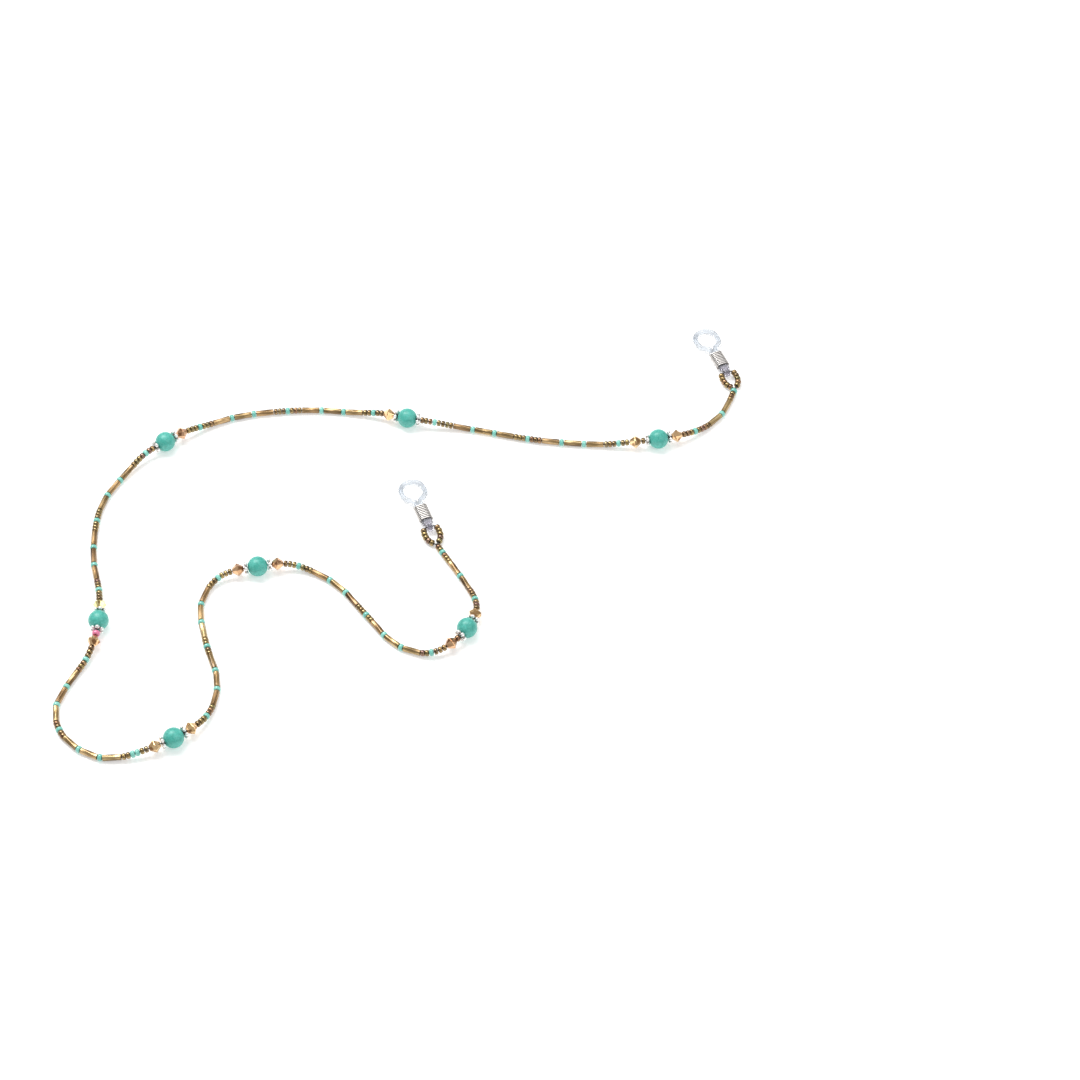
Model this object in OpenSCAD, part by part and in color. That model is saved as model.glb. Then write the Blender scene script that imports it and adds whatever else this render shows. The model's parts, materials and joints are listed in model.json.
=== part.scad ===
// Beaded eyeglass chain: seven turquoise rounds, bugles and seed beads strung on one
// thread, with a silicone temple loop and a wire slider hung from a beaded ring at each end.
// It lies on the plane z = 0. Units are millimetres, and +Z is up.

/* [Round beads] */
// Diameter of the round turquoise beads
round_d = 6.2; // [5.8:0.1:6.6]
// Diameter of the thread hole through every bead
bore_d = 1.1; // [0.9:0.05:1.1]

/* [Seed beads] */
// Diameter of the bronze seed beads
seed_d = 2.05; // [1.85:0.05:2.1]
// Length of the bronze seed beads along the thread
seed_len = 1.15; // [1.05:0.05:1.2]
// Diameter of the turquoise seed beads
turquoise_seed_d = 2.2; // [2:0.05:2.3]
// Length of the turquoise seed beads along the thread
turquoise_seed_len = 1.25; // [1.15:0.05:1.3]
// Diameter of the one rose seed bead
rose_seed_d = 2.4; // [2:0.1:2.6]
// Length of the rose seed bead along the thread
rose_seed_len = 1.5; // [1.2:0.1:1.7]

/* [Bugle beads] */
// Diameter of the six-sided bugle tubes across their corners
bugle_d = 2; // [1.8:0.05:2.1]
// Length of the bugle tubes
bugle_len = 5.48; // [5.3:0.02:5.7]

/* [Bicone beads] */
// Diameter of the bicone crystals at their waist
bicone_d = 4; // [3.6:0.1:4.2]
// Length of the bicone crystals
bicone_len = 3.5; // [3.2:0.1:3.6]

/* [Daisy spacers] */
// Outside diameter of the metal daisy spacers
daisy_d = 4.2; // [3.8:0.1:4.6]
// Thickness of the metal daisy spacers
daisy_len = 1.2; // [1:0.1:1.3]
// Number of knobs round a daisy spacer
daisy_knobs = 6; // [5:1:8]

/* [Thread] */
// Diameter of the stringing thread
thread_d = 0.4; // [0.3:0.05:0.5]
// Diameter of the knot that closes each beaded ring
knot_d = 1.1; // [0.9:0.1:1.2]
// Clear space between neighbouring beads
bead_gap = 0.1; // [0.08:0.01:0.12]

/* [Temple loops] */
// Diameter of the silicone cord that the loop is moulded from
silicone_d = 1.6; // [1.4:0.1:1.6]
// Width of the open loop over its outside
loop_w = 8.8; // [8.4:0.1:9.2]
// Length of the loop's straight sides
loop_side = 1.2; // [1:0.1:1.6]
// Thickness of the tab that the thread ring passes through
tab_t = 1.7; // [1.5:0.1:1.7]
// Height of the tab
tab_h = 3; // [2.6:0.1:3]
// Diameter of the eye in the tab
eye_d = 1.3; // [1.2:0.05:1.4]

/* [Wire sliders] */
// Diameter of the slider's wire
wire_d = 0.5; // [0.4:0.05:0.5]
// Number of turns in the slider
coil_turns = 9; // [8:1:9]
// Distance from one turn to the next
coil_pitch = 0.7; // [0.6:0.02:0.7]
// Travel of the slider along the neck of the loop
slide_travel = 1.6; // [1:0.1:1.6]

/* [Hidden] */
$fn = 48;

// The beads in order along the thread, from end a to end b:
// B round, d daisy spacer, c bicone, s bronze seed, t turquoise seed, u bugle, r rose seed.
KINDS = str(
    "tsssutusssstssscd",
    "BdscsstsssututussstsssututusssstsssdB",
    "dcsstssututussstsssututussstssscdB",
    "dsstssssututussstsssututussstssscdB",
    "drcssstsssututusstssututussttsscdB",
    "dcssstsssututusstssututussstssscdB",
    "dcssstsssututussstssututusstssscsdB",
    "dcssstsssutussstss"
);

// Route of the thread over the table, from the knot at end a
ROUTE = [
    [102, 60.5], [97, 49], [87.5, 40.5], [75.5, 36.5], [61, 36], [39, 38], [16, 43],
    [4, 44.5], [-4.5, 46], [-15, 49], [-35, 51], [-56, 48.5], [-69.5, 42.5], [-80, 35],
    [-88, 27.5], [-97, 11.5], [-98, -8.5], [-94.5, -25.5], [-93.5, -38], [-95.5, -49],
    [-100.5, -59], [-103.5, -69.5], [-99.5, -79.5], [-89.5, -86.2], [-78, -85.5], [-66, -79.8],
    [-58.5, -71.5], [-56.5, -58.5], [-61, -43.5], [-63.5, -29.5], [-59, -19.4], [-47.5, -15.8],
    [-35, -14.5], [-23, -21], [-13, -33.5], [-4, -44.5], [7.5, -48], [17, -40.5], [19.5, -27.5],
    [7, -4.5]
];

// Route of one side of a beaded ring, from the knot to the eye, the other side is its mirror
RING_SIDE = [[0, 0], [1.3, 1.45], [2.9, 2.25], [4.9, 2.4], [6.5, 2.1], [7, 1.1]];

SECTIONS = [1:8];
ROUNDS = [1:7];

// Heights of the thread: over the small beads, and how far from a round it starts to climb
small_z = turquoise_seed_d / 2;
round_z = round_d / 2;
climb = 18;
turn_room = 0.08;

// Headings of the two end fittings from their knots, and the count of seeds on a ring's side
heading = [111, 110];
ring_seed_count = 5;
ring_reach = 7;

// Temple loop, measured from its eye
cord_r = silicone_d / 2;
cord_y = cord_r + 0.03;
coil_clear = 0.08;
coil_r = cord_r + coil_clear + wire_d / 2;
coil_len = coil_turns * coil_pitch;
coil_x = 2.7 + wire_d / 2;
neck_x = coil_x + coil_len + wire_d / 2 + slide_travel;
bend_r = 1.5;
bow_r = loop_w / 2 - cord_r;

// Each side bends out of the neck and straight back into the bow
bow_x = neck_x + sqrt(pow(bow_r + bend_r, 2) - pow(cord_y + bend_r, 2));
bend_angle = asin((cord_y + bend_r) / (bow_r + bend_r));
tip_x = bow_x + loop_side;

// The loop's tip and the slider both rest on the table, which sets the eye's height and droop
slider_low = coil_r + wire_d / 2;
droop = atan((slider_low - cord_r) / (tip_x + bow_r - coil_x - coil_len));
eye_z = cord_r + (tip_x + bow_r) * tan(droop);

thread_sides = 8;
wire_sides = 6;
silicone_sides = 12;
turn_steps = 16;
route_steps = 12;
ring_steps = 3;
ring_stops = 30;

// ---- Curves ----

function unit(v) = v / norm(v);

function catmull(a, b, c, d, t) =
    (2 * b + (c - a) * t + (2 * a - 5 * b + 4 * c - d) * t * t
        + (3 * b - a - 3 * c + d) * t * t * t) / 2;

function smooth(points, steps) =
    let (last = len(points) - 1,
        ends = concat([2 * points[0] - points[1]], points, [2 * points[last] - points[last - 1]]))
    concat([for (i = [0:last - 1], k = [0:steps - 1])
        catmull(ends[i], ends[i + 1], ends[i + 2], ends[i + 3], k / steps)], [points[last]]);

// Length along a path at each of its points
function lengths(path) =
    [for (i = 0, s = 0; i < len(path);
        s = s + (i + 1 < len(path) ? norm(path[i + 1] - path[i]) : 0), i = i + 1) s];

// A path as one lookup table for each axis, keyed by length
function table(path, axis) =
    let (s = lengths(path)) [for (i = [0:len(path) - 1]) [s[i], path[i][axis]]];

// ---- The string of beads ----

function bead_len(kind) =
    kind == "B" ? round_d
    : kind == "d" ? daisy_len
    : kind == "c" ? bicone_len
    : kind == "t" ? turquoise_seed_len
    : kind == "u" ? bugle_len
    : kind == "r" ? rose_seed_len
    : seed_len;

COUNT = len(KINDS);

// Room after bead i, wider beside all but the seeds so that the string can turn there
function is_seed(kind) = kind == "s" || kind == "t" || kind == "r";
function room(i) = bead_gap + (is_seed(KINDS[i]) && is_seed(KINDS[i + 1]) ? 0 : turn_room);
START = [for (i = 0, s = knot_d / 2 + bead_gap; i < COUNT;
    s = s + bead_len(KINDS[i]) + room(i), i = i + 1) s];
function finish(i) = START[i] + bead_len(KINDS[i]);
function middle(i) = START[i] + bead_len(KINDS[i]) / 2;
string_len = finish(COUNT - 1) + bead_gap + knot_d / 2;

// Indices of the rounds, and the section, 1 to 8, that each bead is in
ROUND = [for (i = [0:COUNT - 1]) if (KINDS[i] == "B") i];
SECTION = [for (i = 0, k = 1; i < COUNT; k = k + (KINDS[i] == "B" ? 1 : 0), i = i + 1) k];
function beside(i, k) = abs(middle(i) - middle(ROUND[k - 1])) < 10;

route_path = smooth(ROUTE, route_steps);
route_x = table(route_path, 0);
route_y = table(route_path, 1);

function rise(s) = max([for (i = ROUND)
    let (d = max(0, abs(s - middle(i)) - round_d / 2)) d < climb ? (1 + cos(180 * d / climb)) / 2 : 0]);

function thread_at(s) =
    [lookup(s, route_x), lookup(s, route_y), small_z + (round_z - small_z) * rise(s)];

// The thread bends only between beads, and every end of it is sunk a little way into a knot
thread_reach = knot_d / 2 - 0.15;
thread_stops = concat([thread_reach], [for (i = [1:COUNT - 1]) START[i] - room(i - 1) / 2],
    [string_len - thread_reach]);

// ---- The beaded rings ----

ring_half = smooth(RING_SIDE, ring_steps);
ring_path = concat(ring_half, [for (i = [len(ring_half) - 1:-1:0])
    [ring_half[i][0], -ring_half[i][1]]]);
ring_tables = [table(ring_path, 0), table(ring_path, 1)];
ring_len = lengths(ring_path)[len(ring_path) - 1];
ring_slope = (eye_z - small_z) / ring_reach;

function ring_at(s) =
    let (x = lookup(s, ring_tables[0]))
    [x, lookup(s, ring_tables[1]), ring_slope * x];

// The ring curves tightly, so its seeds stand a little further apart than the string's
function ring_seed_start(i) = 1 + i * (seed_len + 2 * bead_gap);

// ---- Sweeps ----

// The points of a ring round a path, square to the way it runs. The path never runs along up.
function ring_points(p, along, r, sides, up) =
    let (t = unit(along), u = unit(cross(up, t)), v = cross(t, u))
    [for (k = [0:sides - 1]) p + r * (cos(360 * k / sides) * u + sin(360 * k / sides) * v)];

function swept_faces(rings, sides) = concat(
    [[for (k = [0:sides - 1]) k]],
    [for (i = [0:rings - 2], k = [0:sides - 1]) let (n = (k + 1) % sides)
        each [[i * sides + k, (i + 1) * sides + k, (i + 1) * sides + n],
            [i * sides + k, (i + 1) * sides + n, i * sides + n]]],
    [[for (k = [sides - 1:-1:0]) (rings - 1) * sides + k]]
);

// The way a path runs at its point i: halfway between its steps before and after
function run_of(path, i) =
    let (last = len(path) - 1, j = min(i, last - 1), k = max(i, 1))
    unit(path[j + 1] - path[j]) + unit(path[k] - path[k - 1]);

module tube(path, r, sides, up) {
    last = len(path) - 1;
    points = [for (i = [0:last]) each ring_points(path[i], run_of(path, i), r, sides, up)];
    polyhedron(points = points, faces = swept_faces(last + 1, sides));
}

// Moves a piece whose axis is +Z, centred on the origin, to lie between two points
module between(from, to) {
    d = to - from;
    translate((from + to) / 2)
        rotate([0, acos(d[2] / norm(d)), atan2(d[1], d[0])])
            children();
}

// ---- One bead of each kind, centred on the origin with its hole along Z ----

module bore() {
    cylinder(d = bore_d, h = round_d + 2, center = true);
}

module round_bead() {
    difference() {
        sphere(d = round_d, $fn = 72);
        bore();
    }
}

module daisy_spacer() {
    knob_r = 0.6;
    difference() {
        linear_extrude(daisy_len, center = true) {
            circle(r = daisy_d / 2 - knob_r);
            for (k = [0:daisy_knobs - 1])
                rotate(360 * k / daisy_knobs)
                    translate([daisy_d / 2 - knob_r, 0])
                        circle(r = knob_r, $fn = 24);
        }
        bore();
    }
}

module bicone_bead() {
    tip_r = 0.85;
    difference() {
        rotate_extrude()
            polygon([
                [0, -bicone_len / 2], [tip_r, -bicone_len / 2], [bicone_d / 2, -0.15],
                [bicone_d / 2, 0.15], [tip_r, bicone_len / 2], [0, bicone_len / 2]
            ]);
        bore();
    }
}

module bugle_bead() {
    difference() {
        cylinder(d = bugle_d, h = bugle_len, center = true, $fn = 6);
        bore();
    }
}

// A doughnut-like seed, whose outside is one round arc and whose hole is straight
module seed_bead(d, length) {
    wall_r = bore_d / 2;
    arc_r = length / 2;
    rotate_extrude()
        intersection() {
            translate([d / 2 - arc_r, 0])
                circle(r = arc_r, $fn = 32);
            translate([wall_r, -length])
                square([d, 2 * length]);
        }
}

module bead(kind) {
    if (kind == "B") round_bead();
    if (kind == "d") daisy_spacer();
    if (kind == "c") bicone_bead();
    if (kind == "u") bugle_bead();
    if (kind == "t") seed_bead(turquoise_seed_d, turquoise_seed_len);
    if (kind == "s") seed_bead(seed_d, seed_len);
    if (kind == "r") seed_bead(rose_seed_d, rose_seed_len);
}

module place(i) {
    between(thread_at(START[i]), thread_at(finish(i)))
        bead(KINDS[i]);
}

module section_beads(kind, k) {
    for (i = [0:COUNT - 1])
        if (KINDS[i] == kind && SECTION[i] == k) place(i);
}

module beads_beside_round(kind, k) {
    for (i = [0:COUNT - 1])
        if (KINDS[i] == kind && beside(i, k)) place(i);
}

// ---- Nodes along the string ----

module turquoise_bead(k) {
    color("mediumturquoise") place(ROUND[k - 1]);
}

module daisy_spacers(k) {
    color("silver") beads_beside_round("d", k);
}

module bicone_beads(k) {
    color("peru") beads_beside_round("c", k);
}

module bugle_beads(k) {
    color("darkgoldenrod") section_beads("u", k);
}

module bronze_seeds(k) {
    color("saddlebrown") section_beads("s", k);
}

module turquoise_seeds(k) {
    color("aquamarine") section_beads("t", k);
}

module rose_seed() {
    color("palevioletred")
        for (i = [0:COUNT - 1])
            if (KINDS[i] == "r") place(i);
}

module bead_thread() {
    color("dimgray")
        tube([for (s = thread_stops) thread_at(s)], thread_d / 2, thread_sides, [0, 0, 1]);
}

// ---- Nodes of the two ends ----

// Puts a piece drawn from the knot at the origin on end 0, a, or end 1, b
module at_end(end) {
    translate(thread_at(end == 0 ? 0 : string_len))
        rotate([0, 0, heading[end]])
            children();
}

module ring_seeds(end) {
    color("saddlebrown")
        at_end(end)
            for (i = [0:ring_seed_count - 1], side = [1, -1]) {
                from = ring_at(ring_seed_start(i));
                to = ring_at(ring_seed_start(i) + seed_len);
                between([from[0], side * from[1], from[2]], [to[0], side * to[1], to[2]])
                    bead("s");
            }
}

module ring_thread(end) {
    span = ring_len - 2 * thread_reach;
    color("dimgray")
        at_end(end)
            tube([for (i = [0:ring_stops]) ring_at(thread_reach + span * i / ring_stops)],
                thread_d / 2, thread_sides, [0, 0, 1]);
}

module thread_knot(end) {
    color("dimgray")
        at_end(end)
            sphere(d = knot_d);
}

// Puts a piece drawn from the eye at the origin, along +X, where the temple loop lies
module at_eye(end) {
    at_end(end)
        translate([ring_reach, 0, eye_z - small_z])
            rotate([0, droop, 0])
                children();
}

// The points of an arc in the loop's plane after its first
function arc_points(centre, r, from, to, steps) =
    [for (i = [1:steps]) let (a = from + (to - from) * i / steps) centre + r * [cos(a), sin(a)]];

// One side of the loop's cord, from the yoke to near the middle of its tip
loop_half = concat(
    [[2.2, cord_y], [neck_x, cord_y]],
    arc_points([neck_x, cord_y + bend_r], bend_r, -90, -bend_angle, 4),
    arc_points([bow_x, 0], bow_r, 180 - bend_angle, 90, 10),
    [[tip_x, bow_r]],
    arc_points([tip_x, 0], bow_r, 90, 6, 7)
);

// Flat upright tab with the eye across it, and the yoke where it parts into two cords
module tab() {
    tab_r = tab_h / 2;
    yoke_x = 2.3;
    yoke_w = 2 * (cord_y + cord_r);
    difference() {
        union() {
            rotate([90, 0, 0])
                linear_extrude(tab_t, center = true) {
                    circle(r = tab_r);
                    polygon([[0, tab_r], [yoke_x, cord_r], [yoke_x, -cord_r], [0, -tab_r]]);
                }
            linear_extrude(2 * cord_r - 0.1, center = true)
                polygon([
                    [1.3, tab_t / 2 - 0.1], [yoke_x, yoke_w / 2 - 0.1], [yoke_x + 0.3, yoke_w / 2 - 0.1],
                    [yoke_x + 0.3, 0.1 - yoke_w / 2], [yoke_x, 0.1 - yoke_w / 2], [1.3, 0.1 - tab_t / 2]
                ]);
        }
        rotate([90, 0, 0])
            cylinder(d = eye_d, h = tab_t + 2, center = true);
    }
}

module temple_loop(end) {
    color([0.88, 0.92, 0.93, 0.6])
        at_eye(end) {
            tab();
            tube(concat([for (p = loop_half) [p[0], p[1], 0]],
                [for (i = [len(loop_half) - 1:-1:0]) [loop_half[i][0], -loop_half[i][1], 0]]),
                cord_r, silicone_sides, [0, 0, 1]);
        }
}

// Oval turns: the straight part runs beside the two cords, the round parts pass their sides
function oval(angle) =
    let (a = angle % 360, y = cos(a) >= 0 ? cord_y : -cord_y)
    [y + coil_r * cos(a), coil_r * sin(a)];

module wire_slider(end) {
    color("silver")
        at_eye(end)
            tube([for (i = [0:coil_turns * turn_steps])
                let (a = 360 * (i + 0.5) / turn_steps, o = oval(a))
                [coil_x + coil_pitch * i / turn_steps, o[0], o[1]]],
                wire_d / 2, wire_sides, [1, 0, 0]);
}

// ---- What is drawn ----

for (k = ROUNDS) {
    turquoise_bead(k);
    daisy_spacers(k);
    bicone_beads(k);
}
for (k = SECTIONS) {
    bugle_beads(k);
    bronze_seeds(k);
    turquoise_seeds(k);
}
rose_seed();
bead_thread();
ring_seeds(0);  // ring_seeds_a
ring_seeds(1);  // ring_seeds_b
ring_thread(0);  // ring_thread_a
ring_thread(1);  // ring_thread_b
thread_knot(0);  // thread_knot_a
thread_knot(1);  // thread_knot_b
temple_loop(0);  // temple_loop_a
temple_loop(1);  // temple_loop_b
wire_slider(0);  // wire_slider_a
wire_slider(1);  // wire_slider_b
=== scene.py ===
"""Looks of a beaded glasses chain: strung glass beads, with a silicone loop and a wire slider at each end."""

import json
import math
import random

import bmesh
import bpy
import numpy as np
from mathutils import Matrix, Vector


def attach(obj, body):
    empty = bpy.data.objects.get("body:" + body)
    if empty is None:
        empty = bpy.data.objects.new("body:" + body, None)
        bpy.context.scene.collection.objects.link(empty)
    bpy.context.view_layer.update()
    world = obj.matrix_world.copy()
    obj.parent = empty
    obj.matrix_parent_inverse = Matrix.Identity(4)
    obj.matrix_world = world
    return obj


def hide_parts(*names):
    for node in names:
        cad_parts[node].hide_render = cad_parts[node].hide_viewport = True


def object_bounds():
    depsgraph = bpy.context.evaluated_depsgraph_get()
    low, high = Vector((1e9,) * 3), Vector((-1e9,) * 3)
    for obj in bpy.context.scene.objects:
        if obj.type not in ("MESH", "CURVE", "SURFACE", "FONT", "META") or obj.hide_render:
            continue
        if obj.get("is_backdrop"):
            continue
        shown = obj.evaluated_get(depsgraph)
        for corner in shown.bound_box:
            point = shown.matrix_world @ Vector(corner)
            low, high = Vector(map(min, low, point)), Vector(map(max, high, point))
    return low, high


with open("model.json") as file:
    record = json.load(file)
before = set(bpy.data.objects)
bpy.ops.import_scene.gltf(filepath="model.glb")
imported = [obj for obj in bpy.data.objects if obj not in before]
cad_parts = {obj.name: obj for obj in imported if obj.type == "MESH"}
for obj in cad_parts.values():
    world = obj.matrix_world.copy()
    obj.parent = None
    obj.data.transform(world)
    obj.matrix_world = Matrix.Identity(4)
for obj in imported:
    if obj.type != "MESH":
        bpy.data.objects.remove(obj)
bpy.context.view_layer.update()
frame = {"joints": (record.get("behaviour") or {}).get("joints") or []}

# ---- Sizes, in metres, as in the CAD ----

ROUND_D = 0.0062
SEED_D, SEED_LEN = 0.00205, 0.00115  # bronze seeds
AQUA_D, AQUA_LEN = 0.0022, 0.00125  # turquoise seeds
ROSE_D, ROSE_LEN = 0.0024, 0.0015
BUGLE_D, BUGLE_LEN = 0.002, 0.00548
BICONE_D, BICONE_LEN = 0.004, 0.0035
DAISY_D, DAISY_LEN, DAISY_BALLS = 0.0042, 0.0012, 6
BORE_R = 0.00055  # the hole through each bead
THREAD_R = 0.0002
KNOT_R = 0.00055
BEAD_GAP = 0.0001  # between any two beads
TURN_ROOM = 0.00008  # added to the gap unless both beads are seeds
CLIMB = 0.018  # the length over which the thread climbs to a round
RING_REACH = 0.007  # from a ring's knot to the loop's eye
CORD_R = 0.0008  # the silicone cord
WIRE_R = 0.00025  # the slider's wire

# ---- Where the drawing departs from the CAD ----

GROWTH = 0.00004  # how much longer seeds and bugles are drawn, to close up the CAD's bead gap
WIRE_DRAWN = 1.15  # how much thicker the slider's wire is drawn, so that its turns nearly touch
# How far the beads next to a round are drawn in towards it, from the nearest on: its spacers hug it
DRAWN_IN = (0.0003, 0.00034, 0.00034, 0.00027, 0.0002, 0.00013, 0.00006)

# ---- The string ----

# Kinds of bead along the string: B round, d daisy spacer, c bicone, u bugle, s bronze seed,
# t turquoise seed, r rose seed
KINDS = (
    "tsssutusssstssscd"
    "BdscsstsssututussstsssututusssstsssdB"
    "dcsstssututussstsssututussstssscdB"
    "dsstssssututussstsssututussstssscdB"
    "drcssstsssututusstssututussttsscdB"
    "dcssstsssututusstssututussstssscdB"
    "dcssstsssututussstssututusstssscsdB"
    "dcssstsssutussstss"
)
LENGTH_OF = {
    "B": ROUND_D,
    "d": DAISY_LEN,
    "c": BICONE_LEN,
    "t": AQUA_LEN,
    "u": BUGLE_LEN,
    "s": SEED_LEN,
    "r": ROSE_LEN,
}

# Route of the string on the table, from the first knot to the second
ROUTE = [
    (0.102, 0.0605), (0.097, 0.049), (0.0875, 0.0405), (0.0755, 0.0365), (0.061, 0.036),
    (0.039, 0.038), (0.016, 0.043), (0.004, 0.0445), (-0.0045, 0.046), (-0.015, 0.049),
    (-0.035, 0.051), (-0.056, 0.0485), (-0.0695, 0.0425), (-0.08, 0.035), (-0.088, 0.0275),
    (-0.097, 0.0115), (-0.098, -0.0085), (-0.0945, -0.0255), (-0.0935, -0.038),
    (-0.0955, -0.049), (-0.1005, -0.059), (-0.1035, -0.0695), (-0.0995, -0.0795),
    (-0.0895, -0.0862), (-0.078, -0.0855), (-0.066, -0.0798), (-0.0585, -0.0715),
    (-0.0565, -0.0585), (-0.061, -0.0435), (-0.0635, -0.0295), (-0.059, -0.0194),
    (-0.0475, -0.0158), (-0.035, -0.0145), (-0.023, -0.021), (-0.013, -0.0335),
    (-0.004, -0.0445), (0.0075, -0.048), (0.017, -0.0405), (0.0195, -0.0275), (0.007, -0.0045),
]

# Route of one side of a beaded ring, from its knot to the eye, and its seeds
RING_SIDE = [
    (0, 0), (0.0013, 0.00145), (0.0029, 0.00225), (0.0049, 0.0024), (0.0065, 0.0021), (0.007, 0.0011),
]
RING_SEEDS = 5
RING_START = 0.001  # from the knot to the first seed of each side

# ---- Curves ----


def smooth(points, steps):
    """Uniform Catmull-Rom through the points, which gains a phantom point at each end."""
    p = np.array(points, float)
    p = np.vstack([2 * p[0] - p[1], p, 2 * p[-1] - p[-2]])
    t = (np.arange(steps) / steps)[:, None]
    found = [
        (2 * b + (c - a) * t + (2 * a - 5 * b + 4 * c - d) * t**2 + (3 * b - a - 3 * c + d) * t**3) / 2
        for a, b, c, d in zip(p, p[1:], p[2:], p[3:])
    ]
    return np.vstack([*found, p[-2:-1]])


class Path:
    """A line of points, looked up by the length along it."""

    def __init__(self, points):
        self.points = np.array(points, float)
        self.at = np.concatenate([[0], np.linalg.norm(np.diff(self.points, axis=0), axis=1).cumsum()])
        self.length = self.at[-1]

    def __call__(self, s):
        return np.array([np.interp(s, self.at, axis) for axis in self.points.T])


def arc(centre, r, first, last, steps):
    """Points of an arc, angles in degrees, without its first point."""
    angles = np.radians(np.linspace(first, last, steps + 1)[1:])
    return [(centre[0] + r * math.cos(a), centre[1] + r * math.sin(a)) for a in angles]


# ---- Where each bead of the string is ----

route = Path(smooth(ROUTE, 12))


def is_seed(kind):
    return kind in "str"


def room(i):
    """The gap after bead i."""
    both = i + 1 < len(KINDS) and is_seed(KINDS[i]) and is_seed(KINDS[i + 1])
    return BEAD_GAP + (0 if both else TURN_ROOM)


starts, reached = [], KNOT_R + BEAD_GAP
for i, kind in enumerate(KINDS):
    starts.append(reached)
    reached += LENGTH_OF[kind] + room(i)
finishes = [s + LENGTH_OF[k] for s, k in zip(starts, KINDS)]
string_len = finishes[-1] + BEAD_GAP + KNOT_R
rounds = [i for i, kind in enumerate(KINDS) if kind == "B"]


def middle(i):
    return (starts[i] + finishes[i]) / 2


def thread_at(s):
    """A point of the thread, which climbs to the middle of each round."""
    rise = 0.0
    for i in rounds:
        d = max(0, abs(s - middle(i)) - ROUND_D / 2)
        if d < CLIMB:
            rise = max(rise, (1 + math.cos(math.pi * d / CLIMB)) / 2)
    low, high = AQUA_D / 2, ROUND_D / 2
    return np.array([*route(s), low + (high - low) * rise])


def place_of(i):
    """The two ends of bead i on the thread, drawn in towards a round that it is near."""
    push = 0.0
    for r in rounds:
        if 0 < abs(r - i) <= len(DRAWN_IN):
            push = math.copysign(DRAWN_IN[abs(r - i) - 1], r - i)
    return thread_at(starts[i] + push), thread_at(finishes[i] + push)


# ---- The two ends, whose frames come from the joints ----

joints = {j["name"]: j for j in frame["joints"]}


def frame_at(origin, x, y):
    """A matrix that puts a piece drawn along x, with y across it, at the origin point."""
    z = Vector(x).cross(Vector(y))
    return Matrix.Translation(origin) @ Matrix((x, y, z)).transposed().to_4x4()


def eye_frame(end):
    """Where the temple loop's eye is, with x along the loop and y along the eye's hole."""
    hinge, slide = joints[f"loop_{end}_swing"], joints[f"slider_{end}_slide"]
    along = Vector(slide["axis"]).normalized()
    across = -Vector(hinge["axis"]).normalized()
    return frame_at(Vector(hinge["pos_m"]), along, across)


def ring_frame(end):
    """Where the beaded ring's knot is, with x level towards the eye."""
    across = -Vector(joints[f"loop_{end}_swing"]["axis"]).normalized()
    knot_at = Vector(thread_at(0 if end == "a" else string_len))
    return frame_at(knot_at, across.cross(Vector((0, 0, 1))), across)


# The line of a beaded ring, out along one side and back along the other. It rises from the knot to the eye.
eye_z = joints["loop_a_swing"]["pos_m"][2]
side = smooth(RING_SIDE, 3)
both_sides = [*side, *(side[::-1] * (1, -1))]
ring = Path([(x, y, x * (eye_z - AQUA_D / 2) / RING_REACH) for x, y in both_sides])


# ---- The camera ----

CAMERA_AT = (0.0392, -0.6137, 0.7207)
LOOKS_DOWN = 49.7  # degrees below level
LENS, SENSOR = 102.03, 36  # millimetres


def camera():
    data = bpy.data.cameras.new("camera")
    data.lens, data.sensor_width = LENS, SENSOR
    data.clip_start, data.clip_end = 0.05, 20
    obj = bpy.data.objects.new("camera", data)
    obj.location = CAMERA_AT
    obj.rotation_euler = (math.radians(90 - LOOKS_DOWN), 0, 0)
    bpy.context.scene.collection.objects.link(obj)
    bpy.context.scene.camera = obj


# ---- Materials ----


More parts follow.
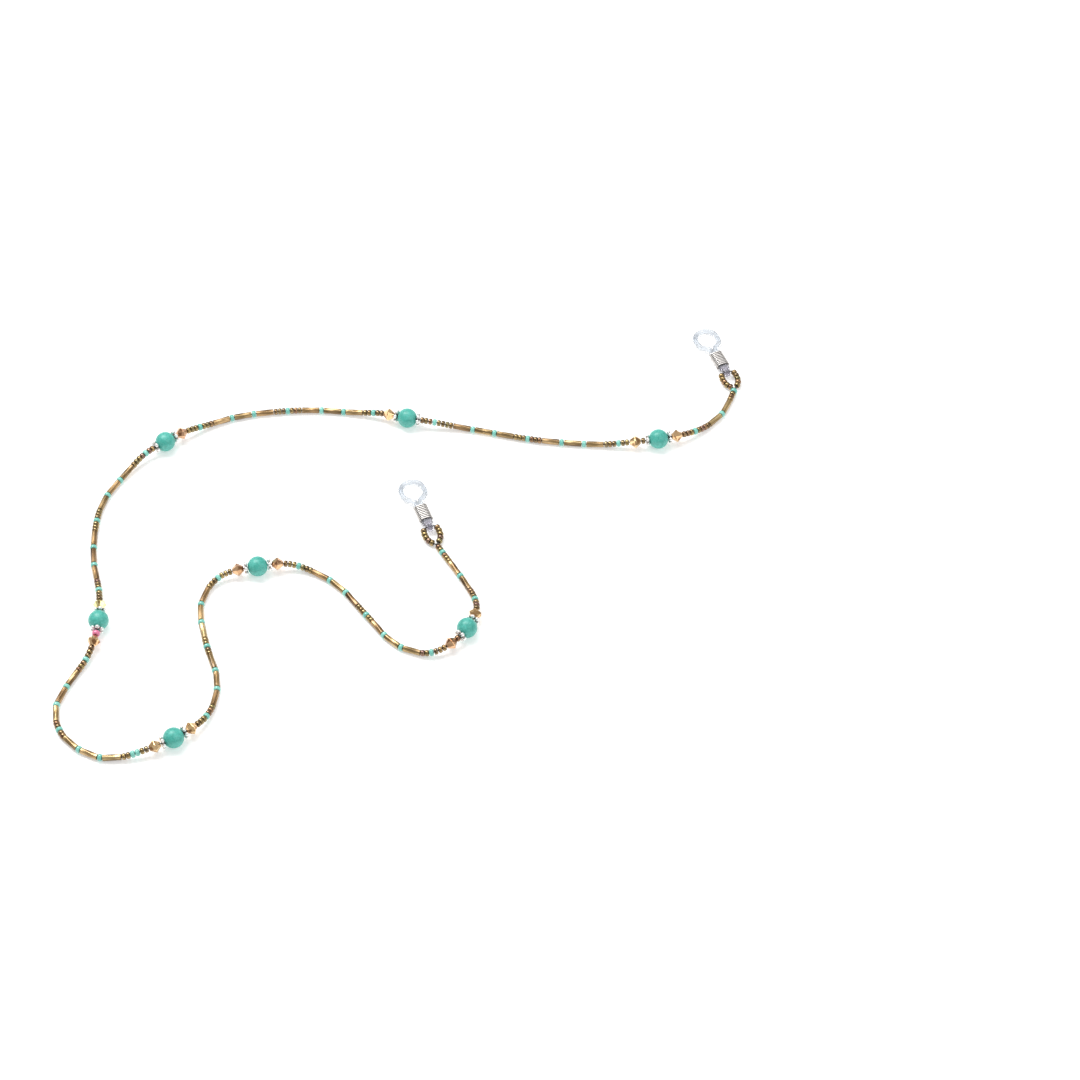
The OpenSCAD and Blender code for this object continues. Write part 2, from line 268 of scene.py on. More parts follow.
class Look:
    """A material's node tree. Noise scales are per mm where the vector is own(), and bump depths are in m."""

    def __init__(self, name, **sockets):
        self.material = bpy.data.materials.new(name)
        self.material.use_nodes = True
        self.nodes, self.links = self.material.node_tree.nodes, self.material.node_tree.links
        self.shader = self.nodes["Principled BSDF"]
        for key, value in sockets.items():
            self.shader.inputs[key.replace("_", " ")].default_value = value

    def add(self, kind, sockets=None, **settings):
        """A new node, with what goes into its sockets and its other settings."""
        made = self.nodes.new(kind)
        for key, value in settings.items():
            setattr(made, key, value)
        for key, value in (sockets or {}).items():
            self.feed(made.inputs[key], value)
        return made

    def feed(self, socket, value):
        """Links a socket to another one, or sets its value."""
        if isinstance(value, bpy.types.NodeSocket):
            self.links.new(value, socket)
        else:
            socket.default_value = value

    def attribute(self, name):
        """What a mesh keeps at each point: own, its place in its bead in mm, tint, or the painted shade in
        its hollows.
        """
        return self.add("ShaderNodeAttribute", attribute_name=name)

    def own(self, stretch=(1, 1, 1)):
        """Each bead's own coordinates in mm, shifted by its tint so that no two beads match."""
        shift = self.add(
            "ShaderNodeVectorMath",
            {0: self.attribute("tint").outputs["Fac"], 1: (37, 51, 23)},
            operation="MULTIPLY",
        )
        moved = self.add(
            "ShaderNodeVectorMath",
            {0: self.attribute("own").outputs["Vector"], 1: shift.outputs[0]},
            operation="ADD",
        )
        return self.add(
            "ShaderNodeVectorMath", {0: moved.outputs[0], 1: stretch}, operation="MULTIPLY"
        ).outputs[0]

    def noise(self, vector, scale, detail=3, roughness=0.5):
        made = self.add(
            "ShaderNodeTexNoise",
            {"Vector": vector, "Scale": scale, "Detail": detail, "Roughness": roughness},
        )
        return made.outputs["Fac"]

    def ramp(self, value, *stops):
        """A colour that eases from stop to stop, each one (place, colour), as a value goes from 0 to 1."""
        made = self.add("ShaderNodeValToRGB", {0: value})
        ramp = made.color_ramp
        ramp.interpolation = "EASE"
        while len(ramp.elements) < len(stops):
            ramp.elements.new(0.5)
        for element, (place, colour) in zip(ramp.elements, stops):
            element.position = place
            element.color = (*colour, 1)
        return made.outputs["Color"]

    def between(self, value, low, high):
        """A value from 0 to 1, spread over low to high."""
        return self.add("ShaderNodeMapRange", {0: value, 3: low, 4: high}).outputs[0]

    def share(self, value, first, last):
        """How far a value has got from first to last, as 0 to 1."""
        return self.add("ShaderNodeMapRange", {0: value, 1: first, 2: last}).outputs[0]

    def mix(self, share, a, b, blend="MIX"):
        return self.add(
            "ShaderNodeMix", {0: share, 6: a, 7: b}, data_type="RGBA", blend_type=blend
        ).outputs[2]

    def bump(self, height, depth, strength=1.0):
        made = self.add("ShaderNodeBump", {"Height": height, "Distance": depth, "Strength": strength})
        self.feed(self.shader.inputs["Normal"], made.outputs["Normal"])

    def colour(self, value):
        self.feed(self.shader.inputs["Base Color"], value)

    def roughness(self, value):
        self.feed(self.shader.inputs["Roughness"], value)


def turquoise_look():
    """Dyed stone: soft paler clouds, fine mottling, pale flecks and a few faint wandering veins."""
    look = Look("turquoise", Coat_Weight=0.15, Coat_Roughness=0.25)
    own = look.own()
    clouds = look.ramp(look.noise(own, 0.5), (0.3, (0.057, 0.435, 0.355)), (0.7, (0.104, 0.54, 0.455)))
    mottle = look.ramp(look.noise(own, 2.2, 4, 0.6), (0.35, (0.80, 0.80, 0.80)), (0.6, (1, 1, 1)))
    flecks = look.share(look.noise(own, 3.4, 2, 0.6), 0.58, 0.7)
    wander = look.noise(own, 0.42, 4, 0.55)
    vein = look.ramp(wander, (0.485, (0, 0, 0)), (0.5, (1, 1, 1)), (0.515, (0, 0, 0)))
    stone = look.mix(1.0, clouds, mottle, "MULTIPLY")
    stone = look.mix(look.between(flecks, 0, 0.4), stone, (0.27, 0.66, 0.58, 1))
    look.colour(look.mix(look.between(vein, 0, 0.35), stone, (0.035, 0.28, 0.23, 1)))
    look.roughness(look.between(look.noise(own, 4), 0.36, 0.5))
    look.bump(look.noise(own, 3.5, 5), 0.00002, 0.5)
    return look.material


def bronze_seed_look():
    """Metal-coated glass, each seed its own mix of gold, olive, brown, copper and mauve."""
    look = Look("bronze_seed", Metallic=0.85, Coat_Weight=0.5, Coat_Roughness=0.08)
    own = look.own()
    tint = look.attribute("tint").outputs["Fac"]
    base = look.ramp(
        tint,
        (0.0, (0.26, 0.15, 0.055)),
        (0.22, (0.34, 0.25, 0.09)),
        (0.45, (0.16, 0.10, 0.045)),
        (0.62, (0.30, 0.14, 0.075)),
        (0.8, (0.22, 0.20, 0.08)),
        (1.0, (0.25, 0.12, 0.12)),
    )
    sheen = look.ramp(look.noise(own, 0.9), (0.35, (0.06, 0.04, 0.022)), (0.66, (0.60, 0.43, 0.19)))
    look.colour(look.mix(0.38, base, sheen))
    look.roughness(look.between(look.noise(own, 2.5), 0.16, 0.34))
    look.bump(look.noise(own, 2.2), 0.00003, 0.4)
    return look.material


def glossy_seed_look(name, dark, light):
    """Opaque glass, glossy, a little uneven from seed to seed."""
    look = Look(name, Coat_Weight=0.4, Coat_Roughness=0.06)
    own = look.own()
    cloud = look.noise(own, 0.8)
    mixed = look.mix(look.attribute("tint").outputs["Fac"], dark, light)
    look.colour(look.mix(look.between(cloud, 0, 0.5), mixed, light))
    look.roughness(look.between(look.noise(own, 3), 0.14, 0.3))
    look.bump(look.noise(own, 2.0), 0.00002, 0.4)
    return look.material


def bugle_look():
    """Silky bronze glass: a few broad bands that run along the twist, partly the glass's own bronze tone and
    partly painted sheen in light gold streaks, with fine grain in them.
    """
    look = Look("bugle", Metallic=0.75, Coat_Weight=0.4, Coat_Roughness=0.12)
    # Broad noise bands: darker brown bronze tone, with light gold streaks of painted sheen between.
    tone_and_sheen_bands = look.noise(look.own((1.0, 1.0, 0.05)), 0.75, 1, 0.3)
    grain = look.noise(look.own((2.6, 2.6, 0.1)), 2.2, 3, 0.6)
    tone_and_sheen = look.ramp(
        tone_and_sheen_bands,
        (0.3, (0.15, 0.096, 0.044)),
        (0.45, (0.32, 0.222, 0.106)),
        (0.58, (0.52, 0.382, 0.192)),
        (0.7, (0.72, 0.57, 0.32)),
    )
    fine = look.ramp(grain, (0.3, (0.72, 0.68, 0.62)), (0.7, (1, 1, 1)))
    warm = look.ramp(look.attribute("tint").outputs["Fac"], (0, (0.86, 0.74, 0.66)), (1, (1, 0.97, 0.88)))
    look.colour(look.mix(1.0, look.mix(1.0, tone_and_sheen, fine, "MULTIPLY"), warm, "MULTIPLY"))
    look.roughness(look.between(grain, 0.26, 0.42))
    look.bump(grain, 0.000012, 0.4)
    return look.material


def bicone_look():
    """Crystal with a golden mirror coat, with straight-edged patches painted dark as the reflections of its
    cut.
    """
    look = Look("bicone", Metallic=0.85, Coat_Weight=0.6, Coat_Roughness=0.03)
    own = look.own()
    base = look.ramp(
        look.attribute("tint").outputs["Fac"],
        (0.0, (0.79, 0.46, 0.26)),
        (0.5, (0.93, 0.63, 0.31)),
        (0.8, (1.0, 0.75, 0.42)),
        (1.0, (1.0, 0.90, 0.42)),
    )
    # Painted reflections: straight-edged Voronoi patches darken the gold and stand for the facets'
    # reflections.
    cells = look.add("ShaderNodeTexVoronoi", {"Vector": own, "Scale": 0.85}).outputs["Color"]
    painted_reflections = look.ramp(cells, (0.22, (0.4, 0.29, 0.2)), (0.38, (0.8, 0.75, 0.69)), (0.5, (1, 1, 1)))
    look.colour(look.mix(1.0, base, painted_reflections, "MULTIPLY"))
    look.roughness(look.between(look.noise(own, 1.5), 0.06, 0.2))
    return look.material


def silver_look(name, colour, low, high, metal, shade_from):
    """Bright plated metal, low to high in roughness, and a warm dark grey painted as shade where its hollows
    pass a given level.
    """
    look = Look(name, Metallic=metal)
    own = look.own()
    stain = look.noise(own, 1.8, 4)
    bright = look.ramp(stain, (0.25, tuple(c * 0.8 for c in colour)), (0.6, colour))
    # Painted shade: the hollows between the spacer's balls and between the wire's turns are darkened to a
    # warm dark grey.
    depth = look.share(look.attribute("hollow_shade").outputs["Fac"], shade_from, 1.1)
    look.colour(look.mix(depth, bright, (0.10, 0.075, 0.06, 1)))
    look.roughness(look.between(stain, high, low))
    look.bump(look.noise(own, 6, 3), 0.00001, 0.4)
    return look.material


def silicone_look():
    """Clear silicone, slightly milky, which turns a lilac grey from 3.2 to 1.6 mm before the eye."""
    look = Look("silicone", IOR=1.41, Transmission_Weight=0.82)
    own = look.attribute("own").outputs["Vector"]
    milk = look.noise(own, 0.4, 3)
    clear = look.ramp(milk, (0.3, (0.67, 0.71, 0.76)), (0.7, (0.81, 0.84, 0.87)))
    along = look.add("ShaderNodeSeparateXYZ", {0: own}).outputs["X"]
    look.colour(look.mix(look.share(along, 3.2, 1.6), clear, (0.60, 0.58, 0.66, 1)))
    look.roughness(look.between(milk, 0.12, 0.26))
    look.bump(look.noise(own, 1.1, 1), 0.00001, 0.25)
    return look.material


def thread_look():
    """Dark braided nylon."""
    look = Look("thread", Sheen_Weight=0.3)
    own = look.add("ShaderNodeTexCoord").outputs["Object"]
    braid = look.add(
        "ShaderNodeTexWave",
        {"Vector": own, "Scale": 1600, "Distortion": 2.0, "Detail": 2},
        bands_direction="DIAGONAL",
    ).outputs["Fac"]
    look.colour(look.ramp(braid, (0.2, (0.012, 0.010, 0.009)), (0.8, (0.06, 0.05, 0.042))))
    look.roughness(look.between(braid, 0.5, 0.8))
    look.bump(braid, 0.00003, 0.6)
    return look.material


def floor_look():
    """Matt white paper, lit a little from within as on a light table."""
    look = Look("floor", Roughness=0.9, Emission_Color=(1, 1, 1, 1), Emission_Strength=0.37)
    own = look.add("ShaderNodeTexCoord").outputs["Object"]
    grain = look.noise(own, 900, 3)
    look.colour(look.ramp(grain, (0.3, (0.86, 0.86, 0.86)), (0.7, (0.89, 0.89, 0.89))))
    return look.material


# ---- Shapes of one bead, in metres, centred on the origin with its hole along z ----


def ring_mesh(rows):
    """A closed mesh from rows of points that form a torus-like grid, as (points, faces)."""
    rows = np.array(rows, float)
    m, n = rows.shape[:2]
    faces = [
        (i * n + j, i * n + (j + 1) % n, (i + 1) % m * n + (j + 1) % n, (i + 1) % m * n + j)
        for i in range(m)
        for j in range(n)
    ]
    return rows.reshape(-1, 3), faces


def lathe(outline, sides):
    """A closed outline of (radius, height) turned about z."""
    turned = [
        [(r * math.cos(a), r * math.sin(a), z) for a in np.arange(sides) * 2 * math.pi / sides]
        for r, z in outline
    ]
    return ring_mesh(turned)


def drilled(outer, hole_r, half, rim=0.00009):
    """Closes an outer outline, which runs up from -half to half, with a hole and its rounded rims."""
    lip = [
        (hole_r + rim * (1 - math.sin(a)), half - rim * (1 - math.cos(a)))
        for a in np.radians([0, 30, 60, 90])
    ]
    return [*outer, *lip, *[(r, -z) for r, z in lip[::-1]]]


def seed_shape(d, length):
    """A doughnut-like seed with full shoulders and a straight hole."""
    half = (length + GROWTH) / 2
    flat_r = BORE_R + 0.00014  # where the side curves over to the flat round the hole
    outer = []
    for a in np.linspace(-math.pi / 2, math.pi / 2, 15):
        out, up = math.cos(a) ** 0.9, math.copysign(abs(math.sin(a)) ** 0.9, a)
        outer.append((flat_r + (d / 2 - flat_r) * out, half * up))
    return lathe(drilled(outer, BORE_R, half), 22)


def round_shape():
    """A drilled stone ball, with a rounded rim at each end of its hole."""
    r, rim, sunk = ROUND_D / 2, 0.0002, 0.00002
    steep = math.acos((BORE_R + rim + 0.00005) / r)
    outer = [(r * math.cos(a), r * math.sin(a)) for a in np.linspace(-steep, steep, 41)]
    return lathe(drilled(outer, BORE_R, outer[-1][1] - sunk, rim), 64)


def bugle_shape(twist, sides=6):
    """A six-sided glass tube twisted along its length."""
    corner, each = BUGLE_D / 2, 5
    flat = corner * math.cos(math.pi / sides)
    around = np.arange(sides * each) * 2 * math.pi / (sides * each)

    def outline(a):
        """The radius of the six-sided outline at angle a, with its corners rounded off."""
        off = (a + math.pi / sides) % (2 * math.pi / sides) - math.pi / sides
        return min(flat / math.cos(off), corner * 0.985)

    def row(z, radius_at):
        """One row of points round the tube, turned by the twist at its height."""
        turn = math.radians(twist) * z / BUGLE_LEN
        return [(radius_at(a) * math.cos(a + turn), radius_at(a) * math.sin(a + turn), z) for a in around]

    half, rim = (BUGLE_LEN + GROWTH) / 2, 0.00006
    levels = [-half + rim, *np.linspace(-half + 2 * rim, half - 2 * rim, 25), half - rim]
    return ring_mesh(
        [
            row(-half, lambda a: 0.9 * outline(a)),
            *[row(z, outline) for z in levels],
            row(half, lambda a: 0.9 * outline(a)),
            row(half, lambda a: BORE_R),
            row(-half, lambda a: BORE_R),
        ]
    )


def bicone_shape(sides=8):
    """A cut crystal: a girdle between two rows of facets, with small flats round the hole."""
    half, tip, girdle = BICONE_LEN / 2, 0.0008, BICONE_D / 2
    band = 0.0001  # half the girdle's height

    def circle(r, z):
        return [(r * math.cos(a), r * math.sin(a), z) for a in np.arange(sides) * 2 * math.pi / sides]

    return ring_mesh(
        [
            circle(BORE_R, -half),
            circle(tip, -half),
            circle(girdle, -band),
            circle(girdle, band),
            circle(tip, half),
            circle(BORE_R, half),
        ]
    )


def daisy_shape():
    """A spacer of small balls in a ring, joined by a web with a hole in it, with painted shade in its
    hollows.
    """
    ball = DAISY_LEN / 2
    centre = DAISY_D / 2 - ball
    inward = centre - BORE_R - 0.0001  # how far the web runs in from the balls' centres
    web = 0.00042  # half the web's height at the hole
    rows, hollow_shade = [], []
    for a in np.arange(DAISY_BALLS * 18) * 2 * math.pi / (DAISY_BALLS * 18):
        off = (a * DAISY_BALLS / (2 * math.pi) + 0.5) % 1 - 0.5
        away = centre * off * 2 * math.pi / DAISY_BALLS
        fat = math.sqrt(max(ball**2 - away**2, (0.4 * ball) ** 2))
        row = []
        for b in np.arange(20) * 2 * math.pi / 20:
            reach = fat if math.cos(b) > 0 else inward
            high = fat if math.cos(b) > 0 else fat + (web - fat) * min(1, -1.6 * math.cos(b))
            r = centre + reach * math.cos(b)
            row.append((r * math.cos(a), r * math.sin(a), high * math.sin(b)))
            # Painted shade: between the balls and on the web's inner side, for the material to darken.
            hollow_shade.append(max(1.6 - 1.6 * fat / ball, -1.2 * math.cos(b), 0))
        rows.append(row)
    return (*ring_mesh(rows), np.clip(hollow_shade, 0, 1))


# ---- Gathering beads into pieces ----


class Strung:
    """Beads of one kind, joined into one piece, each with its own coordinates, tint and painted shade in its
    hollows.
    """

    def __init__(self):
        self.points, self.faces, self.own, self.tint, self.hollow_shade = [], [], [], [], []

    def add(self, shape, first, last, tint, turn=0.0, scale=(1, 1, 1)):
        """Lays one bead between two points, turned about its hole."""
        points, faces, *hollow_shade = shape
        scaled = points * scale
        along = Vector(last - first).normalized()
        turned = along.to_track_quat("Z", "X").to_matrix() @ Matrix.Rotation(turn, 3, "Z")
        before = sum(map(len, self.points))
        self.points.append(scaled @ np.array(turned).T + (first + last) / 2)
        self.own.append(scaled * 1000)
        self.tint.append(np.full(len(points), tint))
        self.hollow_shade.append(hollow_shade[0] if hollow_shade else np.zeros(len(points)))
        self.faces += [tuple(before + v for v in face) for face in faces]
        return self

    def piece(self, name, material, body, slot, *nodes, sharp=35):
        mesh = bpy.data.meshes.new(name)
        mesh.from_pydata(np.vstack(self.points).tolist(), [], self.faces)
        keep(mesh, "own", np.vstack(self.own))
        keep(mesh, "tint", np.concatenate(self.tint))
        keep(mesh, "hollow_shade", np.concatenate(self.hollow_shade))
        return finished(mesh, name, material, body, slot, *nodes, sharp=sharp)


def keep(mesh, name, values):
    """Keeps one vector or number at each point of a mesh for its material."""
    kind, field = ("FLOAT_VECTOR", "vector") if np.ndim(values) == 2 else ("FLOAT", "value")
    mesh.attributes.new(name, kind, "POINT").data.foreach_set(field, np.ravel(values).astype(np.float32))


def face_outward(mesh):
    held = bmesh.new()
    held.from_mesh(mesh)
    bmesh.ops.recalc_face_normals(held, faces=held.faces)
    held.to_mesh(mesh)
    held.free()


def finished(mesh, name, material, body, slot, *nodes, sharp=35):
    """A piece made from a mesh: its faces, shading, material and body, and the CAD nodes it stands for."""
    face_outward(mesh)
    mesh.shade_smooth()
    mesh.set_sharp_from_angle(angle=math.radians(sharp))
    mesh.materials.append(material)
    obj = bpy.data.objects.new(name, mesh)
    bpy.context.scene.collection.objects.link(obj)
    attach(obj, body)
    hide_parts(*nodes)
    return obj


# ---- The temple loop and its slider, drawn from the eye with x along the loop ----

LOOP_W, LOOP_SIDE = 0.0088, 0.0012  # the loop's width, and its straight sides past the bow
CORD_Y = CORD_R + 0.00003  # how far each cord of the neck is from the middle
TURNS, PITCH = 9, 0.0007  # of the slider's coil
COIL_X = 0.0027 + WIRE_R  # where the coil starts
NECK_X = COIL_X + TURNS * PITCH + WIRE_R + joints["slider_a_slide"]["range_m"][1]  # where the neck ends
BEND_R = 0.0015  # the bend out of the neck, and the angle that it turns through
BOW_R = LOOP_W / 2 - CORD_R
BEND = math.degrees(math.asin((CORD_Y + BEND_R) / (BOW_R + BEND_R)))
BOW_X = NECK_X + math.sqrt((BOW_R + BEND_R) ** 2 - (CORD_Y + BEND_R) ** 2)  # the bow's centre
TIP_X = BOW_X + LOOP_SIDE  # the centre of the loop's far end
TAB_R, TAB_T, YOKE_X = 0.0015, 0.0017, 0.0026  # the tab's radius and thickness, and where its yoke ends
EYE_R, EYE_RIM = 0.00065, 0.0003


def tube_rows(path, along, r, sides, up):
    """Rows of points at radius r round each point of a path that runs in the directions along."""
    along = along / np.linalg.norm(along, axis=1)[:, None]
    u = np.cross(up, along)
    u /= np.linalg.norm(u, axis=1)[:, None]
    v = np.cross(along, u)
    angles = (np.arange(sides) * 2 * math.pi / sides)[None, :, None]
    return path[:, None] + r * (np.cos(angles) * u[:, None] + np.sin(angles) * v[:, None])


def swept(path, r, sides, up):
    """Rows of points for a tube of radius r along an open path in 3D."""
    path = np.array(path, float)
    return tube_rows(path, np.gradient(path, axis=0), r, sides, up)


def capped(rows):
    """A closed mesh from an open tube's rows of points."""
    m, n = rows.shape[:2]
    faces = [
        (i * n + j, i * n + (j + 1) % n, (i + 1) * n + (j + 1) % n, (i + 1) * n + j)
        for i in range(m - 1)
        for j in range(n)
    ]
    faces += [tuple(range(n)), tuple((m - 1) * n + j for j in range(n - 1, -1, -1))]
    return rows.reshape(-1, 3), faces


def mesh_of(name, shape):
    """A bare mesh from a shape's points and faces."""
    mesh = bpy.data.meshes.new(name)
    mesh.from_pydata(np.array(shape[0]).tolist(), [], shape[1])
    face_outward(mesh)
    return mesh


def plain(name, shape):
    """An object made from a shape, with nothing else set."""
    obj = bpy.data.objects.new(name, mesh_of(name, shape))
    bpy.context.scene.collection.objects.link(obj)
    return obj


def loop_cord():
    """The silicone cord: from inside the yoke up one side of the neck, round the bow and back."""
    half = [(0.0016, CORD_Y), *[(x, CORD_Y) for x in np.linspace(0.003, NECK_X, 14)]]
    half += arc((NECK_X, CORD_Y + BEND_R), BEND_R, -90, -BEND, 8)
    half += arc((BOW_X, 0), BOW_R, 180 - BEND, 90, 22)
    half += [(BOW_X + LOOP_SIDE / 2, BOW_R), (TIP_X, BOW_R)]
    half += arc((TIP_X, 0), BOW_R, 90, 0, 20)
    path = [(x, y, 0) for x, y in half] + [(x, -y, 0) for x, y in half[-2::-1]]
    return capped(swept(path, CORD_R, 24, (0, 0, 1)))


def loop_tab():
    """The flat upright tab, rounded over, and the yoke where it parts into the two cords."""

    def section(x, half_y, half_z, square):
        """One rounded section across the tab, squarer as square grows."""
        return [
            (
                x,
                half_y * math.copysign(abs(math.cos(a)) ** (2 / square), math.cos(a)),
                half_z * math.copysign(abs(math.sin(a)) ** (2 / square), math.sin(a)),
            )
            for a in np.arange(40) * 2 * math.pi / 40
        ]

    rows = []
    for a in np.radians(np.linspace(84, 0, 14)):
        half_y, half_z = TAB_T / 2 * math.cos(a) ** 0.35, TAB_R * math.cos(a)
        rows.append(section(-TAB_R * math.sin(a), half_y, half_z, 4))
    for share in np.linspace(0.08, 1, 13):
        ease = share * share * (3 - 2 * share)
        rows.append(
            section(
                YOKE_X * share,
                TAB_T / 2 + (CORD_Y + CORD_R * 0.96 - TAB_T / 2) * ease,
                TAB_R + (CORD_R - TAB_R) * ease,
                4 - 1.4 * ease,
            )
        )
    return capped(np.array(rows))


def eye_cutter():
    """A trumpet-mouthed pin that cuts the eye and rounds its two rims."""
    face = TAB_T / 2
    rows = []
    for y in np.linspace(-1.25 * face, 1.25 * face, 15):
        r = EYE_R + max(0, abs(y) - (face - EYE_RIM)) ** 2 / (4 * EYE_RIM)
        rows.append([(r * math.cos(a), y, r * math.sin(a)) for a in np.arange(48) * math.pi / 24])
    return capped(np.array(rows))


def joined(name, first, *steps):
    """The mesh of the first shape after each boolean step: (operation, shape)."""
    obj, tools = plain(name, first), []
    for operation, shape in steps:
        tool = plain(f"{name}_tool", shape)
        cut = obj.modifiers.new("cut", "BOOLEAN")
        cut.operation, cut.solver, cut.object = operation, "EXACT", tool
        tools.append(tool)
    bpy.context.view_layer.update()
    mesh = bpy.data.meshes.new_from_object(obj.evaluated_get(bpy.context.evaluated_depsgraph_get()))
    for spare in (obj, *tools):
        bpy.data.objects.remove(spare)
    return mesh


def temple_loop(end):
    """The silicone loop: its tab with the eye cut through, and the cord."""
    name = f"silicone_loop_{end}"
    mesh = joined(name, loop_tab(), ("DIFFERENCE", eye_cutter()), ("UNION", loop_cord()))
    keep(mesh, "own", [v.co * 1000 for v in mesh.vertices])
    mesh.transform(eye_frame(end))
    body, node = f"loop_{end}", f"temple_loop_{end}"
    return finished(mesh, name, looks["silicone"], body, "silicone", node, sharp=50)


def wire_slider(end):
    """Oval turns of round wire about the two cords, its ends drawn in to blunt tips."""
    name = f"coil_slider_{end}"
    clearance = 0.00008
    r, sides, steps = CORD_R + clearance + WIRE_R, 12, TURNS * 40
    first_turn = 11  # degrees round the coil where the wire starts
    path = []
    for i in range(steps + 1):
        a = math.radians((360 * TURNS * i / steps + first_turn) % 360)
        y = CORD_Y if math.cos(a) >= 0 else -CORD_Y
        path.append((COIL_X + PITCH * TURNS * i / steps, y + r * math.cos(a), r * math.sin(a)))
    rows = swept(path, WIRE_R * WIRE_DRAWN, sides, (1, 0, 0))
    for k, scale in ((0, 0.55), (1, 0.92), (-2, 0.92), (-1, 0.55)):
        centre = rows[k].mean(axis=0)
        rows[k] = centre + (rows[k] - centre) * scale
    # Painted shade between the turns: the sides of the wire that face its neighbours are marked for
    # darkening.
    groove_shade = abs(np.sin(np.arange(sides) * 2 * math.pi / sides))
    mesh = mesh_of(name, capped(rows))
    keep(mesh, "own", rows.reshape(-1, 3) * 1000)
    keep(mesh, "hollow_shade", np.tile(groove_shade, steps + 1))
    mesh.transform(eye_frame(end))
    body, node = f"slider_{end}", f"wire_slider_{end}"
    return finished(mesh, name, looks["wire"], body, "slider_silver", node, sharp=60)


# ---- Thread, knots and beads ----


def thread():
    """One thread: round the first ring, along the string from knot to knot, and round the second.

    Returns its object, its first point and its length.
    """
    rings = []
    for end in "ab":
        to = ring_frame(end)
        rings.append([np.array(to @ Vector(ring(s))) for s in np.linspace(0, ring.length, 61)])
    stops = [starts[i] - room(i - 1) / 2 for i in range(1, len(KINDS))]
    points = [*rings[0], *[thread_at(s) for s in stops], *rings[1]]
    curve = bpy.data.curves.new("thread", "CURVE")
    curve.dimensions = "3D"
    curve.bevel_depth = THREAD_R
    curve.bevel_resolution = 3
    curve.use_fill_caps = True
    line = curve.splines.new("POLY")
    line.points.add(len(points) - 1)
    for point, place in zip(line.points, points):
        point.co = (*place, 1)
    curve.materials.append(looks["thread"])
    obj = bpy.data.objects.new("thread", curve)
    bpy.context.scene.collection.objects.link(obj)
    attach(obj, "strand")
    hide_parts("bead_thread", "ring_thread_a", "ring_thread_b")
    return obj, points[0], 2 * ring.length + string_len


def knot(end):
    """A small tight trefoil of the same thread."""
    name = f"knot_{end}"
    t = np.linspace(0, 2 * math.pi, 73)[:-1]
    trefoil = np.transpose(
        [np.sin(t) + 2 * np.sin(2 * t), np.cos(t) - 2 * np.cos(2 * t), -1.4 * np.sin(3 * t)]
    )
    widest = 3.05  # how far the trefoil reaches from its middle
    path = trefoil * (KNOT_R - THREAD_R * 0.9) / widest
    along = np.roll(path, -1, axis=0) - np.roll(path, 1, axis=0)
    mesh = mesh_of(name, ring_mesh(tube_rows(path, along, THREAD_R * 0.85, 10, (0, 0, 1))))
    mesh.transform(ring_frame(end))
    return finished(mesh, name, looks["thread"], "strand", "thread", f"thread_knot_{end}", sharp=60)


def uneven(amount):
    """How far one bead's size strays from its kind's."""
    across = 1 + random.uniform(-amount, amount)
    return across, across, 1 + random.uniform(-amount, 0)


def any_turn():
    return random.uniform(0, 2 * math.pi)


def beads(name, kinds, shape_of, look, slot, nodes, tint_of=None, stray=0.02, sharp=35):
    """Every bead of some kinds along the string, as one piece."""
    strung = Strung()
    for i, kind in enumerate(KINDS):
        if kind in kinds:
            first, last = place_of(i)
            tint = tint_of(i) if tint_of else random.random()
            strung.add(shape_of(i), first, last, tint, any_turn(), uneven(stray))
    return strung.piece(name, looks[look], "strand", slot, *nodes, sharp=sharp)


def numbered(name, count):
    """The names of the CAD nodes name_1 to name_count."""
    return [f"{name}_{k}" for k in range(1, count + 1)]


def ring_seeds(end):
    """The seeds on one beaded ring, in pairs from the knot on."""
    strung, to = Strung(), ring_frame(end)
    for k in range(RING_SEEDS):
        start = RING_START + k * (SEED_LEN + 2 * BEAD_GAP)
        for sign in (1, -1):
            first, last = (np.array(to @ Vector(ring(s) * (1, sign, 1))) for s in (start, start + SEED_LEN))
            strung.add(seed, first, last, random.random(), any_turn(), uneven(0.02))
    return strung.piece(f"ring_beads_{end}", looks["bronze"], "strand", "bronze_seed", f"ring_seeds_{end}")


def round_bead(k, i):
    """Round k, which is bead i of the string."""
    first, last = place_of(i)
    strung = Strung().add(round_shape(), first, last, random.random(), any_turn())
    body, node = f"round_{k}", f"turquoise_bead_{k}"
    return strung.piece(f"stone_{k}", looks["stone"], body, "turquoise", node, sharp=50)


def light(name, place, size, power):
    """A soft round lamp, size across, that points at the origin."""
    data = bpy.data.lights.new(name, "AREA")
    data.shape, data.size, data.energy = "DISK", size, power
    obj = bpy.data.objects.new(name, data)
    obj.location = place
    obj.rotation_euler = (-Vector(place)).to_track_quat("-Z", "Y").to_euler()
    bpy.context.scene.collection.objects.link(obj)


def studio():
    """A white paper floor under soft light from the upper left."""
    low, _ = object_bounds()
    far = 3.0
    corners = [(x, y, low.z) for x, y in ((-far, -far), (far, -far), (far, far), (-far, far))]
    floor = plain("floor", (corners, [(0, 1, 2, 3)]))
    floor.data.materials.append(floor_look())
    floor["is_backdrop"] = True
    light("key", (-0.5, 0.45, 1.0), 0.5, 8.0)
    light("back", (-0.05, 0.55, 1.4), 0.9, 8.0)
    light("fill", (0.7, -0.5, 0.9), 0.8, 3.0)
    world = bpy.data.worlds.new("studio")
    world.use_nodes = True
    sky = world.node_tree.nodes["Background"].inputs
    sky["Color"].default_value = (1, 1, 1, 1)
    sky["Strength"].default_value = 0.42
    bpy.context.scene.world = world
    bpy.context.scene.view_settings.view_transform = "Standard"


# ---- The scene ----

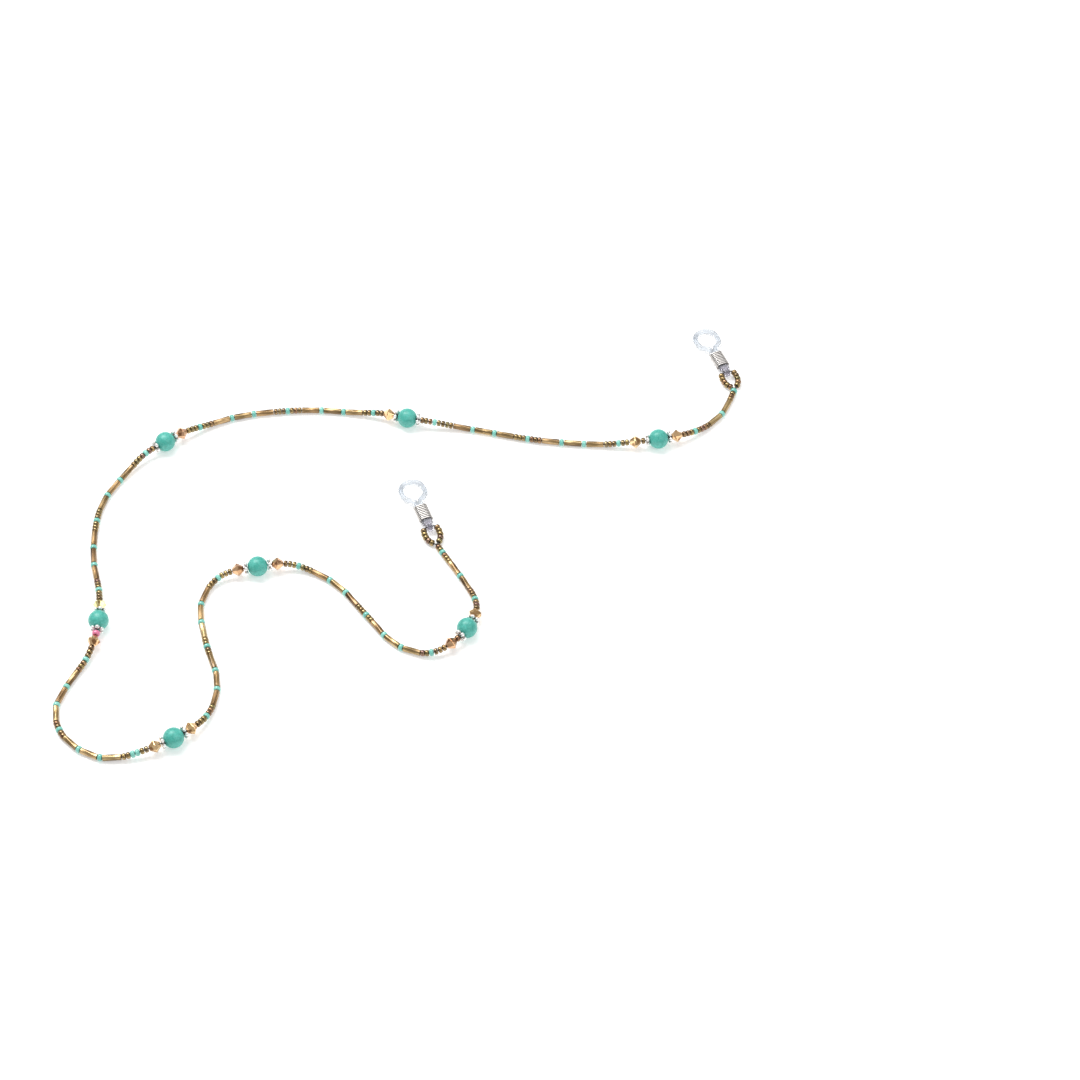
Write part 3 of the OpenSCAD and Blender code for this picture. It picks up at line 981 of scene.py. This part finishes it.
camera()
random.seed(7)
looks = {
    "stone": turquoise_look(),
    "bronze": bronze_seed_look(),
    "aqua": glossy_seed_look("aqua_seed", (0.13, 0.50, 0.42, 1), (0.27, 0.68, 0.58, 1)),
    "rose": glossy_seed_look("rose_seed", (0.66, 0.12, 0.27, 1), (0.86, 0.30, 0.46, 1)),
    "bugle": bugle_look(),
    "bicone": bicone_look(),
    "spacer": silver_look("spacer", (0.97, 0.96, 0.94), 0.2, 0.36, 0.7, 0.55),
    "wire": silver_look("wire", (0.90, 0.87, 0.84), 0.28, 0.42, 0.82, 0.35),
    "silicone": silicone_look(),
    "thread": thread_look(),
}
cord, cord_start, cord_length = thread()

seed = seed_shape(SEED_D, SEED_LEN)
aqua = seed_shape(AQUA_D, AQUA_LEN)
rose = seed_shape(ROSE_D, ROSE_LEN)
bicone, daisy = bicone_shape(), daisy_shape()
bugles = [bugle_shape(twist) for twist in (48, 64, 40, 56)]
cream = rounds[3] - 2  # the one pale yellow bicone
on_cord = [
    beads("bronze_seed_beads", "s", lambda i: seed, "bronze", "bronze_seed", numbered("bronze_seeds", 8)),
    beads(
        "turquoise_seed_beads",
        "t",
        lambda i: aqua,
        "aqua",
        "turquoise_seed",
        numbered("turquoise_seeds", 8),
    ),
    beads("rose_seed_bead", "r", lambda i: rose, "rose", "rose_seed", ["rose_seed"]),
    beads(
        "bugle_tubes",
        "u",
        lambda i: bugles[i % 4],
        "bugle",
        "bugle_glass",
        numbered("bugle_beads", 8),
        stray=0.012,
    ),
    beads(
        "bicone_crystals",
        "c",
        lambda i: bicone,
        "bicone",
        "bicone_glass",
        numbered("bicone_beads", 7),
        tint_of=lambda i: 1.0 if i == cream else random.uniform(0, 0.8),
        stray=0.01,
        sharp=5,
    ),
    beads(
        "daisy_rings",
        "d",
        lambda i: daisy,
        "spacer",
        "spacer_silver",
        numbered("daisy_spacers", 7),
        stray=0.01,
    ),
]
on_cord += [round_bead(k, i) for k, i in enumerate(rounds, 1)]
for end in "ab":
    on_cord += [ring_seeds(end), knot(end)]
    temple_loop(end)
    wire_slider(end)

studio()
